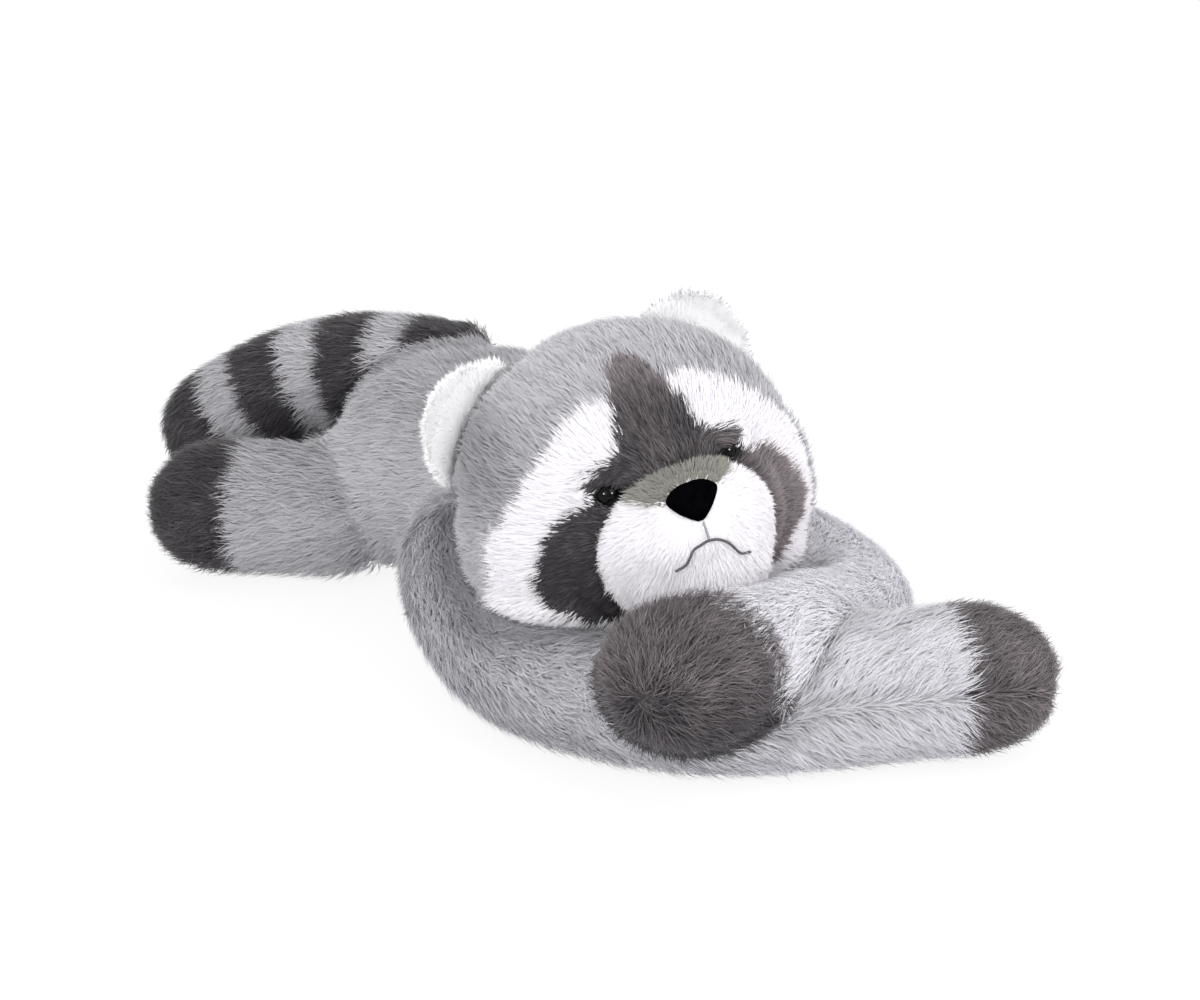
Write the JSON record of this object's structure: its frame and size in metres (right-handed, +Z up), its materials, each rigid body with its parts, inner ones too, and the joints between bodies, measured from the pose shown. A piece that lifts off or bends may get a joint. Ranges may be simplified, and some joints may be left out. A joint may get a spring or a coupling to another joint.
{
  "type": "plush raccoon",
  "caption": "Soft plush raccoon lying on its belly, head turned and resting on its crossed arms, with dark paws and a banded tail.",
  "frame": {"origin": "the middle of the flat patch under the belly, on the surface that the toy lies on", "axes": "+Z up, -Y towards the head, +X towards the toy's left side"},
  "size_m": [0.3781, 0.7687, 0.2555],
  "materials": {
    "grey_plush": "light grey long-pile plush",
    "dark_plush": "charcoal long-pile plush with brown tips",
    "white_plush": "white short-pile plush",
    "olive_plush": "olive-grey short-pile plush",
    "black_velvet": "black velvet",
    "black_plastic": "glossy black bead",
    "grey_thread": "grey embroidery thread",
    "black_thread": "black embroidery thread"
  },
  "bodies": {
    "root": {"torso": "grey_plush", "right_arm": "grey_plush", "left_arm": "grey_plush", "right_forepaw": "dark_plush", "left_forepaw": "dark_plush", "right_hind_leg": "grey_plush", "left_hind_leg": "grey_plush", "right_hind_paw": "dark_plush", "left_hind_paw": "dark_plush", "tail_tip": "dark_plush", "tail_grey_1": "grey_plush", "tail_grey_2": "grey_plush", "tail_grey_3": "grey_plush", "tail_dark_1": "dark_plush", "tail_dark_2": "dark_plush", "tail_dark_3": "dark_plush", "head": "grey_plush", "right_ear": "grey_plush", "left_ear": "grey_plush", "right_ear_lining": "white_plush", "left_ear_lining": "white_plush", "right_cheek": "white_plush", "left_cheek": "white_plush", "right_mask": "dark_plush", "left_mask": "dark_plush", "right_brow": "dark_plush", "left_brow": "dark_plush", "forehead_blaze": "dark_plush", "muzzle": "white_plush", "muzzle_bridge": "olive_plush", "nose": "black_velvet", "right_eye": "black_plastic", "left_eye": "black_plastic", "philtrum_stitch": "grey_thread", "mouth_stitch": "black_thread"}
  },
  "joints": []
}
